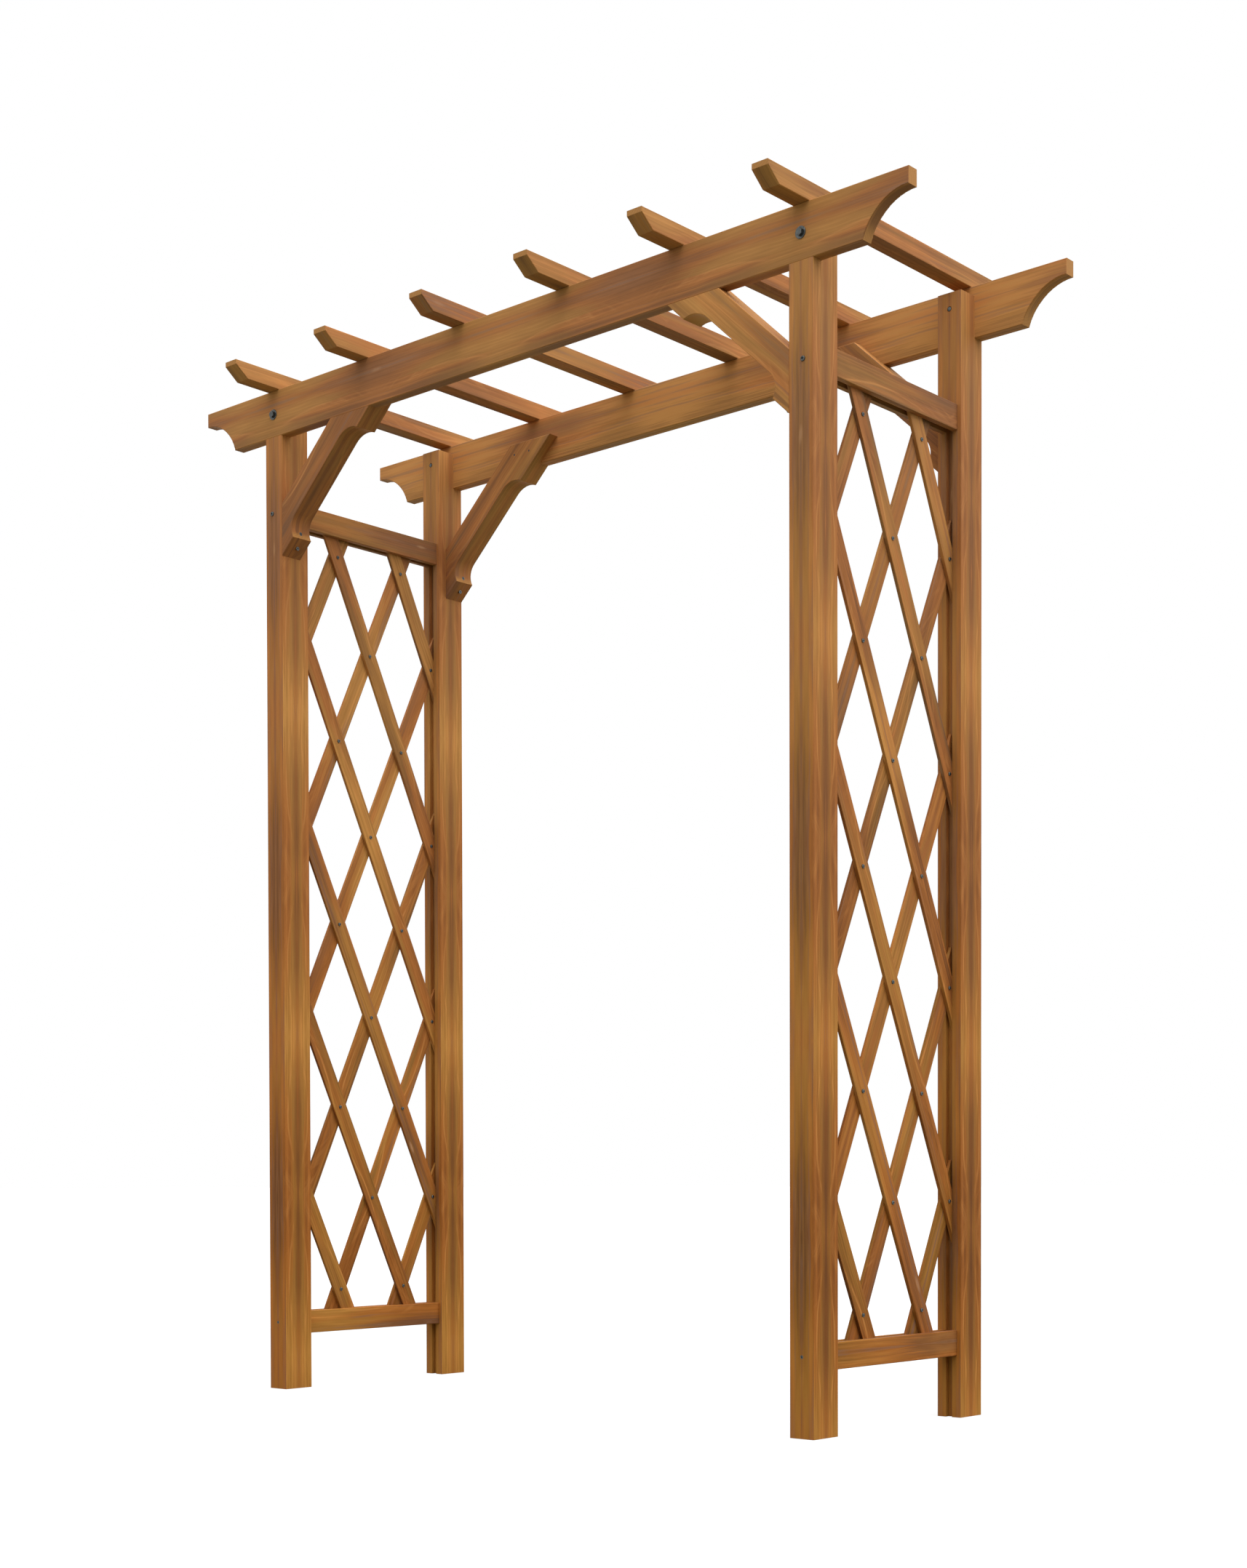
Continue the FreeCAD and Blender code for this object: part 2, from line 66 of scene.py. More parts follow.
# Places of the frame, in metres, from the model's own pieces
SIDES = {"left": -1, "right": 1}
FACES = {"front": -1, "back": 1}
CORNERS = [(sx, sy) for sx in SIDES.values() for sy in FACES.values()]
post_low, post_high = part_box("post_back_right")
POST_FACE_X = post_low.x  # towards the passage
POST_FACE_Y = post_low.y  # towards the lattice
POST_DEPTH = post_high.y - post_low.y
POST_CENTRE_X = middle("post_back_right").x
POST_MIDDLE = middle("post_back_right").z
OUTER_Y = post_high.y
BEAM_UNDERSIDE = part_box("beam_back")[0].z
BEAM_CENTRE_Y = middle("beam_back").y
BRACE_INNER_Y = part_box("brace_back_right")[0].y
BRACE_CENTRE_Y = middle("brace_back_right").y
BRACE_ANGLE = math.radians(42.9)
RAFTER_COUNT = 6
RAFTER_TOP = cad_high.z
RAFTER_PLACES = [middle("rafter_" + str(number)).x for number in range(1, RAFTER_COUNT + 1)]
TOP_RAIL_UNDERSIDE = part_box("top_rail_right")[0].z
BOTTOM_RAIL_UNDERSIDE, BOTTOM_RAIL_TOP = (corner.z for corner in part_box("bottom_rail_right"))

# Crossings of the lattice, as in the CAD source
LATTICE_COLUMNS = 4
LATTICE_ROWS = 8
LATTICE_SIDE_MARGIN = 0.0095
LATTICE_TOP_MARGIN = 0.042
LATTICE_BOTTOM_MARGIN = 0.045
SLAT_THICKNESS = 0.007
COLUMN_PITCH = 2 * (POST_FACE_Y - LATTICE_SIDE_MARGIN) / LATTICE_COLUMNS
FIRST_ROW = TOP_RAIL_UNDERSIDE - LATTICE_TOP_MARGIN
LAST_ROW = BOTTOM_RAIL_TOP + LATTICE_BOTTOM_MARGIN
ROW_PITCH = (FIRST_ROW - LAST_ROW) / LATTICE_ROWS
SLAT_LEAN = math.atan2(COLUMN_PITCH, ROW_PITCH)


def new_nodes(material):
    material.use_nodes = True
    tree = material.node_tree
    tree.nodes.clear()
    return tree


def add(tree, kind, inputs=None, **settings):
    """New shader node; inputs are sockets to link or plain values, by name or number."""
    node = tree.nodes.new("ShaderNode" + kind)
    for name, value in settings.items():
        setattr(node, name, value)
    for key, value in (inputs or {}).items():
        if isinstance(value, bpy.types.NodeSocket):
            tree.links.new(value, node.inputs[key])
        else:
            node.inputs[key].default_value = value
    return node


def calc(tree, operation, a, b=0.0, c=0.0):
    return add(tree, "Math", {0: a, 1: b, 2: c}, operation=operation).outputs[0]


def product(tree, *values):
    result = values[0]
    for value in values[1:]:
        result = calc(tree, "MULTIPLY", result, value)
    return result


def weighted(tree, start, *terms):
    """Sum of start and of each term's value times its weight."""
    for value, weight in terms:
        start = calc(tree, "MULTIPLY_ADD", value, weight, start)
    return start


def centred(tree, value):
    return calc(tree, "SUBTRACT", value, 0.5)


def stretch(tree, vector, across, along, shift):
    """Coordinates scaled across and along the grain."""
    scaled = add(tree, "VectorMath", {0: vector, 1: (across, across, along)}, operation="MULTIPLY")
    return add(tree, "VectorMath", {0: scaled.outputs[0], 1: shift}, operation="ADD").outputs[0]


def noise(tree, vector, detail, roughness=0.5, distortion=0.0):
    inputs = {
        "Vector": vector,
        "Scale": 1.0,
        "Detail": detail,
        "Roughness": roughness,
        "Distortion": distortion,
    }
    return add(tree, "TexNoise", inputs).outputs[0]


def slope(tree, value, low, high):
    """Straight rise from 0 at low to 1 at high."""
    return add(tree, "MapRange", {"Value": value, "From Min": low, "From Max": high}).outputs[0]


def between(tree, value, low, high, out_low=0.0, out_high=1.0):
    """Smooth rise from out_low at low to out_high at high."""
    inputs = {"Value": value, "From Min": low, "From Max": high, "To Min": out_low, "To Max": out_high}
    return add(tree, "MapRange", inputs, interpolation_type="SMOOTHSTEP").outputs[0]


def length_of(tree, vector):
    return add(tree, "VectorMath", {0: vector}, operation="LENGTH").outputs["Value"]


def mixed(tree, factor, a, b):
    return add(tree, "Mix", {0: factor, 6: a, 7: b}, data_type="RGBA").outputs[2]


def ramp(tree, value, stops):
    node = add(tree, "ValToRGB", {0: value})
    elements = node.color_ramp.elements
    elements[0].position, elements[0].color = stops[0][0], (*stops[0][1], 1)
    elements[1].position, elements[1].color = stops[-1][0], (*stops[-1][1], 1)
    for place, colour in stops[1:-1]:
        elements.new(place).color = (*colour, 1)
    return node.outputs[0]


# Stained wood: one run of shades for red-brown places and one for tan places
RED_STOPS = [
    (0.0, (0.115, 0.036, 0.005)),
    (0.3, (0.222, 0.071, 0.011)),
    (0.55, (0.330, 0.109, 0.018)),
    (0.8, (0.430, 0.150, 0.027)),
    (1.0, (0.550, 0.205, 0.042)),
]
TAN_STOPS = [
    (0.0, (0.115, 0.046, 0.007)),
    (0.3, (0.216, 0.090, 0.014)),
    (0.55, (0.320, 0.138, 0.024)),
    (0.8, (0.420, 0.185, 0.036)),
    (1.0, (0.550, 0.252, 0.056)),
]
GLOW = (0.56, 0.235, 0.060, 1)
GREY_STREAK = (0.180, 0.102, 0.072, 1)
PALE_MARK = (0.56, 0.300, 0.150, 1)
# Painted sheen: a paler, bluer colour mixed in more towards the top stands in for the sky's reflection
PAINTED_SHEEN = (0.58, 0.370, 0.260, 1)
PAINTED_SHEEN_TOP = 0.15  # share of the painted sheen colour at the top of the arbor
PAINTED_SHEEN_POWER = 1.7

# Noise in the grain: repeats per metre across and along it, detail, roughness and distortion
GRAIN = {
    "drift": (14.0, 3.0, 2.0, 0.5, 0.0),
    "bands": (32.0, 2.2, 2.0, 0.5, 0.0),
    "flames": (64.0, 7.0, 3.0, 0.5, 0.2),
    "lines": (260.0, 3.0, 3.0, 0.6, 0.0),
    "feathers": (100.0, 5.0, 3.0, 0.55, 0.0),
    "streaks": (110.0, 3.2, 2.0, 0.5, 0.0),
    "fray": (380.0, 1.5, 2.0, 0.6, 0.0),
    "pores": (700.0, 700.0, 2.0, 0.5, 0.0),
    "sway": (26.0, 6.0, 2.0, 0.5, 0.0),
    "hue": (40.0, 2.6, 2.0, 0.5, 0.0),
}
SHIFT_REACH = 20  # the noises of each piece start at random places up to this far off

# The figure repeats along the grain and across it, and each repeat mirrors the one before it.
# It is measured along the grain from a light place, and across it from a brown seam.
FIGURE_LENGTH = 0.73
FIGURE_WIDTH = 0.064  # from a brown seam to the next grey one
SWAY_WIDTH = 0.010
DRIFT_LENGTH = 0.09
RAGGED = 0.42  # how far fibres shift the ends of the marks
BROWN_LENS = 0.016
BROWN_START = (0.03, 0.11)
BROWN_TAPER = (0.33, 0.15)
BROWN_FRAYED = 0.022
BROWN_SOFT = 0.006
GREY_LENS = 0.019
GREY_SWELL = (0.155, 0.305)
GREY_FRAYED = 0.03
GREY_SOFT = 0.009
SEAM_LINE = (0.0032, 0.0008)
SEAM_BREAKS = (0.35, 0.6)
ARC_FOOT = 0.012
ARC_RISE = 0.016
ARC_HALF_WIDTH = 0.0036
ARC_SPAN = (0.045, 0.30)
ARC_START = (0.05, 0.10)
ARC_END = (0.30, 0.20)
ARC_BREAKS = (0.3, 0.55, 0.3, 1.0)
RED_START = (0.17, 0.27)
RED_NEAR_SIDE = (0.011, 0.020)
RED_FAR_SIDE = (0.043, 0.033)
FEATHER_SLANT = 0.47
FEATHER_GATE = (0.48, 0.70)
STREAK_GATE = (0.60, 0.74, 0.0, 0.4)
KNOT_HALF_WIDTH = 0.005
KNOT_HALF_LENGTH = 0.022
KNOT_FADE = (1.1, 0.2, 0.0, 0.5)
KNOT_SPREAD = (6.0, 2.5)  # repeats per metre across and along the board
KNOT_DETAIL = 1.0
KNOT_GATE = (0.45, 0.55)

# How much each part of the figure lightens the wood, turns it tan, makes it glow or greys it
LEVEL = 0.655
RISE = 0.09  # lighter for each metre up a piece
SWING = 0.078  # light places against dark ones
BEAM_SWING = 0.115
BANDS_LIGHT = 0.7
FLAMES_LIGHT = 0.65
LINES_LIGHT = 0.7
FRAY_LIGHT = 0.35
BROWN_LIGHT = -0.23
GREY_LIGHT = -0.19
RED_LIGHT = -0.06
TAN_RANGE = (0.33, 0.67)
LIGHT_TAN = 0.07
RED_TAN = -0.18
ARC_GLOW = 0.6
FEATHER_GLOW = 0.25
GREY_GREYS = 0.16
BROWN_GREYS = 0.05
SEAM_GREYS = 0.40

# Cut ends
HEART_ASIDE = (0.02, 0.05)
HEART_AWAY = (0.03, 0.06)
RINGS_PER_METRE = 180.0
RING_RISE = (0.3, 0.97)
RING_LIGHT = -0.12
END_FACING = (0.8, 0.95)
END_LEVEL = 0.76
PORES_LIGHT = 0.4

# Sheen and relief of the wood
WOOD_ROUGH = (0.3, 0.7, 0.74, 0.6)
WOOD_SPECULAR = 0.10
WOOD_BUMP = 0.18
WOOD_RELIEF = 0.0005


def grain_noise(tree, kind, vector, places):
    across, along, detail, roughness, distortion = GRAIN[kind]
    return noise(tree, stretch(tree, vector, across, along, places[kind]), detail, roughness, distortion)


def figure_place(tree, board, facing, peak, seams, places):
    """Distance from a brown seam across the grain, and from a light place along it, and the kind of face."""
    x, y, along = add(tree, "SeparateXYZ", {0: board}).outputs
    sizes = add(tree, "VectorMath", {0: facing}, operation="ABSOLUTE").outputs[0]
    towards_x, towards_y, _ = add(tree, "SeparateXYZ", {0: sizes}).outputs
    face = calc(tree, "GREATER_THAN", towards_x, towards_y)
    on_y_face = calc(tree, "ADD", x, seams[0])
    on_x_face = calc(tree, "ADD", y, seams[1])
    across = add(tree, "Mix", {0: face, 2: on_y_face, 3: on_x_face}, data_type="FLOAT").outputs[0]
    sway = centred(tree, grain_noise(tree, "sway", board, places))
    drift = centred(tree, grain_noise(tree, "drift", board, places))
    aside = weighted(tree, calc(tree, "PINGPONG", across, FIGURE_WIDTH), (sway, SWAY_WIDTH))
    from_peak = calc(tree, "SUBTRACT", weighted(tree, along, (drift, DRIFT_LENGTH)), peak)
    ahead = calc(tree, "PINGPONG", from_peak, FIGURE_LENGTH / 2)
    return aside, ahead, face


def lenses(tree, aside, ragged, fray, flames):
    """A brown lens with a blunt end on one seam, a grey one on the next and a thin line in that seam."""
    taper = product(tree, between(tree, ragged, *BROWN_START), slope(tree, ragged, *BROWN_TAPER))
    frayed = weighted(tree, aside, (fray, BROWN_FRAYED))
    in_brown = calc(tree, "SUBTRACT", calc(tree, "MULTIPLY", taper, BROWN_LENS), frayed)
    brown = between(tree, in_brown, -BROWN_SOFT, BROWN_SOFT)
    from_grey = calc(tree, "SUBTRACT", FIGURE_WIDTH, aside)
    swell = calc(tree, "MULTIPLY", slope(tree, ragged, *GREY_SWELL), GREY_LENS)
    in_grey = weighted(tree, calc(tree, "SUBTRACT", swell, from_grey), (fray, GREY_FRAYED))
    grey = between(tree, in_grey, -GREY_SOFT, GREY_SOFT)
    seam_line = product(tree, between(tree, from_grey, *SEAM_LINE), between(tree, flames, *SEAM_BREAKS))
    return brown, grey, seam_line


def bright_arc(tree, aside, ahead, ragged, flames):
    """A bright line that bows out beside the brown lens."""
    bow = calc(tree, "SINE", calc(tree, "MULTIPLY", slope(tree, ahead, *ARC_SPAN), math.pi))
    arc_place = calc(tree, "MULTIPLY_ADD", bow, ARC_RISE, ARC_FOOT)
    off_arc = calc(tree, "ABSOLUTE", calc(tree, "SUBTRACT", aside, arc_place))
    reach = product(tree, between(tree, ragged, *ARC_START), between(tree, ragged, *ARC_END))
    stroke = between(tree, off_arc, ARC_HALF_WIDTH, 0.0)
    return product(tree, stroke, reach, between(tree, flames, *ARC_BREAKS))


def red_feathers(tree, aside, ahead, face, ragged, places):
    """A red place beyond the arc, and the slanted feathers in it."""
    sides = product(tree, between(tree, aside, *RED_NEAR_SIDE), between(tree, aside, *RED_FAR_SIDE))
    red = product(tree, between(tree, ragged, *RED_START), sides)
    leaned = weighted(tree, aside, (ahead, FEATHER_SLANT))
    slanted = add(tree, "CombineXYZ", {0: leaned, 1: face, 2: ahead}).outputs[0]
    feathers = grain_noise(tree, "feathers", slanted, places)
    return red, product(tree, red, between(tree, feathers, *FEATHER_GATE))


def pale_knot(tree, board, aside, ahead, places):
    """Here and there a knot where the grey seam crosses the dark place."""
    across = calc(tree, "DIVIDE", calc(tree, "SUBTRACT", FIGURE_WIDTH, aside), KNOT_HALF_WIDTH)
    along = calc(tree, "DIVIDE", calc(tree, "SUBTRACT", FIGURE_LENGTH / 2, ahead), KNOT_HALF_LENGTH)
    from_knot = length_of(tree, add(tree, "CombineXYZ", {0: across, 1: along}).outputs[0])
    chance = noise(tree, stretch(tree, board, *KNOT_SPREAD, places["pores"]), KNOT_DETAIL)
    return product(tree, between(tree, from_knot, *KNOT_FADE), between(tree, chance, *KNOT_GATE))


def end_grain(tree, board, facing, heart, places):
    """Where the cut ends are, and their colour, with growth rings round a heart off the board's middle."""
    flat = add(tree, "VectorMath", {0: board, 1: (1, 1, 0), 2: heart}, operation="MULTIPLY_ADD").outputs[0]
    turns = calc(tree, "MULTIPLY", length_of(tree, flat), RINGS_PER_METRE)
    rings = between(tree, calc(tree, "FRACT", turns), *RING_RISE)
    pores = centred(tree, grain_noise(tree, "pores", board, places))
    colour = ramp(tree, weighted(tree, END_LEVEL, (pores, PORES_LIGHT), (rings, RING_LIGHT)), TAN_STOPS)
    lengthwise = add(tree, "SeparateXYZ", {0: facing}).outputs[2]
    return between(tree, calc(tree, "ABSOLUTE", lengthwise), *END_FACING), colour


def wood(name, turn, centre, peak, swing, seams, tones_and_painted_light, leans_and_painted_tint, seed):
    """Stained timber with its grain along the piece.

    turn brings the grain to Z, centre is the middle of the piece, peak a light place along it, swing
    how much lighter that is and seams how far the middle of each pair of faces lies from a brown seam
    of the figure. tones_and_painted_light and leans_and_painted_tint make the Y faces and the X faces of
    the board lighter, and tanner: partly each piece's own tone and hue, partly painted light, shade and
    bounced tint for how light falls on each side.
    """
    draw = random.Random(seed)
    places = {kind: [draw.uniform(-SHIFT_REACH, SHIFT_REACH) for _ in range(3)] for kind in GRAIN}
    heart = (draw.uniform(*HEART_ASIDE), draw.choice((-1, 1)) * draw.uniform(*HEART_AWAY), 0)
    material = bpy.data.materials.new(name)
    tree = new_nodes(material)
    place = -(Euler(turn).to_matrix() @ centre)
    object_space = add(tree, "TexCoord").outputs["Object"]
    board = add(tree, "Mapping", {"Vector": object_space, "Location": place, "Rotation": turn}).outputs[0]
    normal = add(tree, "NewGeometry").outputs["Normal"]
    facing = add(tree, "Mapping", {"Vector": normal, "Rotation": turn}, vector_type="VECTOR").outputs[0]
    aside, ahead, face = figure_place(tree, board, facing, peak, seams, places)
    fibre = add(tree, "CombineXYZ", {0: aside, 1: face, 2: ahead}).outputs[0]

    # Slow light and dark places along the board, broad bands, flames, fine lines and the marks of the figure
    light = calc(tree, "COSINE", calc(tree, "MULTIPLY", ahead, 2 * math.pi / FIGURE_LENGTH))
    bands = grain_noise(tree, "bands", fibre, places)
    flames = grain_noise(tree, "flames", fibre, places)
    lines = grain_noise(tree, "lines", fibre, places)
    fray = centred(tree, grain_noise(tree, "fray", fibre, places))
    ragged = weighted(tree, ahead, (fray, RAGGED))
    brown, grey, seam_line = lenses(tree, aside, ragged, fray, flames)
    arc = bright_arc(tree, aside, ahead, ragged, flames)
    red, feather = red_feathers(tree, aside, ahead, face, ragged, places)

    # Shade and hue; the face terms give each side of the board its own lightness and hue, partly painted
    # light, shade and bounced tint
    height = add(tree, "SeparateXYZ", {0: object_space}).outputs[2]
    level = weighted(
        tree,
        LEVEL + tones_and_painted_light[0],
        (face, tones_and_painted_light[1] - tones_and_painted_light[0]),
        (calc(tree, "SUBTRACT", height, centre.z), RISE),
        (light, swing),
        (centred(tree, bands), BANDS_LIGHT),
        (centred(tree, flames), FLAMES_LIGHT),
        (centred(tree, lines), LINES_LIGHT),
        (fray, FRAY_LIGHT),
        (brown, BROWN_LIGHT),
        (grey, GREY_LIGHT),
        (red, RED_LIGHT),
    )
    hue = calc(tree, "ADD", grain_noise(tree, "hue", fibre, places), leans_and_painted_tint[0])
    leaning = weighted(tree, hue, (face, leans_and_painted_tint[1] - leans_and_painted_tint[0]), (light, LIGHT_TAN), (red, RED_TAN))
    tan = between(tree, leaning, *TAN_RANGE)
    colour = mixed(tree, tan, ramp(tree, level, RED_STOPS), ramp(tree, level, TAN_STOPS))

    # Glowing and grey marks, knots and cut ends
    glow = weighted(tree, calc(tree, "MULTIPLY", arc, ARC_GLOW), (feather, FEATHER_GLOW))
    colour = mixed(tree, glow, colour, GLOW)
    greyness = calc(tree, "MULTIPLY", grey, GREY_GREYS)
    greyness = weighted(tree, greyness, (brown, BROWN_GREYS), (seam_line, SEAM_GREYS))
    colour = mixed(tree, greyness, colour, GREY_STREAK)
    streaks = grain_noise(tree, "streaks", fibre, places)
    colour = mixed(tree, between(tree, streaks, *STREAK_GATE), colour, GREY_STREAK)
    colour = mixed(tree, pale_knot(tree, board, aside, ahead, places), colour, PALE_MARK)
    end, end_colour = end_grain(tree, board, facing, heart, places)
    colour = mixed(tree, end, colour, end_colour)

    # Painted sheen: the colour turns paler and bluer towards the top of the arbor, standing in for the sky's
    # reflection on the upper parts
    share_up = calc(tree, "DIVIDE", height, RAFTER_TOP)
    painted_sheen = calc(tree, "MULTIPLY", calc(tree, "POWER", share_up, PAINTED_SHEEN_POWER), PAINTED_SHEEN_TOP)
    colour = mixed(tree, painted_sheen, colour, PAINTED_SHEEN)
    bump = add(tree, "Bump", {"Strength": WOOD_BUMP, "Distance": WOOD_RELIEF, "Height": lines})
    shader = add(tree, "BsdfPrincipled", {
        "Base Color": colour,
        "Roughness": between(tree, lines, *WOOD_ROUGH),
        "Specular IOR Level": WOOD_SPECULAR,
        "Normal": bump.outputs[0],
    })
    add(tree, "OutputMaterial", {0: shader.outputs[0]})
    return material


# Light places along each kind of piece, from its middle, but up the posts from the ground
POST_PEAKS = {"left": 0.80, "right": 0.735}
BEAM_PEAK = -0.028
BRACE_PEAK = 0.1
SLAT_PEAK = 0.05
RAIL_PEAK = -0.2
RAFTER_PEAK = -0.35
RAFTER_PEAKS = {"rafter_3": 0.0}

# How far the middle of the Y faces and of the X faces lies from a brown seam
SEAMS = {"post": (FIGURE_WIDTH, 0.0), "beam": (-0.044, 0.0)}
SEAM_STEPS = (0.017, 0.023)  # for the other kinds, from each piece to the next

# Shade of each piece on the Y faces and on the X faces of its board, added up over the names that fit:
# partly each piece's own tone, partly painted light and shade, where faces are made lighter or darker for
# how light and occlusion fall on them
TONES_AND_PAINTED_LIGHT = {
    "post_front_right": (-0.03, -0.02),
    "post_back_right": (-0.05, -0.03),
    # painted light and shade: this post's X faces are made lighter and its Y faces darker, offsetting the
    # light and shade that fall on them
    "post_front_left": (-0.06, 0.12),
    "post_back_left": (0.05, 0.07),
    "beam_front": (-0.05, -0.06),
    # painted light: the back beam is made lighter to offset the shade that the front beam and rafters cast
    # on it
    "beam_back": (0.23, 0.20),
    "brace_front_left": (-0.24, -0.16),
    # painted highlight: the upper edges (X faces) of this brace are made much lighter, as if lit from above
    "brace_front_right": (0.09, 0.40),
    "brace_back_left": (-0.07, -0.07),
    "brace_back_right": (-0.19, 0.12),
    "top_rail_right": (-0.18, -0.22),
    "top_rail_left": (-0.18, -0.18),
    "bottom_rail_right": (-0.16, -0.16),
    "bottom_rail_left": (-0.08, -0.08),
    "rafter_1": (-0.10, 0.00),
    "rafter_2": (-0.02, 0.03),
    "rafter_3": (-0.06, 0.04),
    "rafter_4": (-0.08, -0.05),
    "rafter_5": (0.01, 0.13),
    "rafter_6": (-0.06, 0.12),
    "slat_left": (-0.08, -0.08),
    "slat_left_down_2": (-0.09, -0.09),
    "slat_left_down_4": (0.10, 0.10),
    "slat_left_down_5": (0.11, 0.11),
    "slat_left_up_2": (0.14, 0.14),
    "slat_left_up_3": (0.10, 0.10),
    "slat_left_up_6": (-0.16, -0.16),
    "slat_right_down": (-0.11, -0.11),
    "slat_right_down_1": (-0.22, -0.22),
    "slat_right_down_4": (0.11, 0.11),
    "slat_right_down_6": (0.12, 0.12),
    "slat_right_up": (-0.19, -0.19),
    "slat_right_up_1": (-0.10, -0.10),
    "slat_right_up_2": (0.10, 0.10),
    "slat_right_up_4": (0.14, 0.14),
    "slat_right_up_6": (-0.16, -0.16),
}
# Hue of each piece on the Y faces and on the X faces of its board, added up likewise: partly its own hue,
# partly a painted tint for light bounced onto each side
LEANS_AND_PAINTED_TINT = {
    "post_front_right": (0.0, -0.055),
    "post_back_right": (-0.03, -0.07),
    "post_front_left": (-0.12, 0.0),
    "beam_front": (0.01, 0.05),
    "beam_back": (0.025, 0.025),
    "brace_front_left": (-0.24, -0.20),
    "brace_front_right": (0.09, 0.0),
}
POST_SEED = 11
METAL = ("bolts", "washers", "screws")

# Turns that bring the grain of a piece to Z
ALONG_X = (0, -math.pi / 2, 0)
ALONG_Y = (math.pi / 2, 0, 0)
ALONG_Z = (0, 0, 0)


def shade_of(name, table):
    """Sum of the table's pairs whose keys start the name."""
    pairs = [pair for start, pair in table.items() if name.startswith(start)]
    return [sum(values) for values in zip((0.0, 0.0), *pairs)]


def grain_of(name):
    """Turn that brings the grain of a piece to Z, and the place of a light part along it."""
    words = name.split("_")
    if words[0] == "post":
        return ALONG_Z, POST_PEAKS[words[2]] - POST_MIDDLE
    if words[0] == "beam":
        return ALONG_X, BEAM_PEAK
    if words[0] == "brace":
        return (0, SIDES[words[2]] * (math.pi / 2 - BRACE_ANGLE), 0), BRACE_PEAK
    if words[0] == "slat":
        return ((-1 if words[2] == "down" else 1) * SLAT_LEAN, 0, 0), SLAT_PEAK
    if words[0] == "rafter":
        return ALONG_Y, RAFTER_PEAKS.get(name, RAFTER_PEAK)
    return ALONG_Y, RAIL_PEAK


def stain(name, number):
    """Gives a wooden node its own material."""
    kind = name.split("_")[0]
    turn, peak = grain_of(name)
    swing = BEAM_SWING if kind == "beam" else SWING
    seams = SEAMS.get(kind, [step * number for step in SEAM_STEPS])
    seed = POST_SEED if kind == "post" else number
    tones_and_painted_light = shade_of(name, TONES_AND_PAINTED_LIGHT)
    leans_and_painted_tint = shade_of(name, LEANS_AND_PAINTED_TINT)
    slot = nodes[name].material_slots[0]
    slot.link = "OBJECT"
    slot.material = wood("wood_" + name, turn, middle(name), peak, swing, seams, tones_and_painted_light, leans_and_painted_tint, seed)


wood_names = sorted(name for name in nodes if not any(word in name for word in METAL))
for number, name in enumerate(wood_names):
    stain(name, number)

# Dark zinc-plated steel
STEEL_STOPS = [(0.3, (0.058, 0.063, 0.061)), (0.7, (0.098, 0.104, 0.101))]
STEEL_CLOUD = (260.0, 3.0, (0, 0, 0))  # repeats per metre, detail and shift
STEEL_FINE = (1900.0, 2.0, (5, 5, 5))
STEEL_ROUGH = (0.3, 0.7, 0.40, 0.28)
STEEL_METALLIC = 0.9
STEEL_BUMP = 0.1
STEEL_RELIEF = 0.0002


def even_noise(tree, repeats, detail, shift):
    spot = add(tree, "TexCoord").outputs["Object"]
    return noise(tree, stretch(tree, spot, repeats, repeats, shift), detail)


def steel():
    material = bpy.data.materials.new("fastener_steel_dark")
    tree = new_nodes(material)
    cloud = even_noise(tree, *STEEL_CLOUD)
    fine = even_noise(tree, *STEEL_FINE)
    bump = add(tree, "Bump", {"Strength": STEEL_BUMP, "Distance": STEEL_RELIEF, "Height": fine})
    shader = add(tree, "BsdfPrincipled", {
        "Base Color": ramp(tree, cloud, STEEL_STOPS),
        "Metallic": STEEL_METALLIC,
        "Roughness": between(tree, cloud, *STEEL_ROUGH),
        "Normal": bump.outputs[0],
    })
    add(tree, "OutputMaterial", {0: shader.outputs[0]})
    return material


STEEL = steel()

# Bolts and washers
BOLT_RISE = 0.0505  # above the underside of the beam
BOLT_FLATS = 0.013
BOLT_HEAD_HEIGHT = 0.0055
BOLT_CROWN = 0.9  # flat top, of the distance to the flats
BOLT_CHAMFER = math.radians(30)
BOLT_RADIUS = 0.004
BOLT_END = 0.001  # past the inner face of the post
BOLT_END_CHAMFER = 0.0007
BOLT_STEPS = 48
BOLT_TURN = math.pi / 6  # a corner of the hexagon stands up
WASHER_RADIUS = 0.0115
WASHER_THICKNESS = 0.002
WASHER_BORE = 0.0043
WASHER_EDGE = 0.0004

# Screw heads; shares are of the head's radius, and the pan head's profile is of its radius and height
SCREW_STEPS = 32
SCREW_TIP = 0.004
TIP_SHARE = 0.12  # blunt end of the tip, of the shank's radius
RIM = 0.0003
CROSS_REACH = 0.6
CROSS_HALF = 0.15
CROSS_DEPTH = 0.6
CROSS_FLOOR_REACH = 0.34
CROSS_FLOOR_HALF = 0.1
PAN_HEIGHT = 0.56
PAN_PROFILE = [(0.7, 1.0), (0.8, 0.93), (0.89, 0.79), (0.96, 0.58), (1.0, 0.3), (1.0, 0.0)]
SHARP_ANGLE = math.radians(28)

# Radii of head and shank of each kind of screw
TOP_RAIL_SCREW = (0.005, 0.0025)
BOTTOM_RAIL_SCREW = (0.0035, 0.002)
FOOT_SCREW = (0.00425, 0.00225)
LAP_SCREW = (0.0023, 0.0015)
RAFTER_SCREW = (0.00425, 0.00225)
LATTICE_SCREW = (0.004, 0.00175)

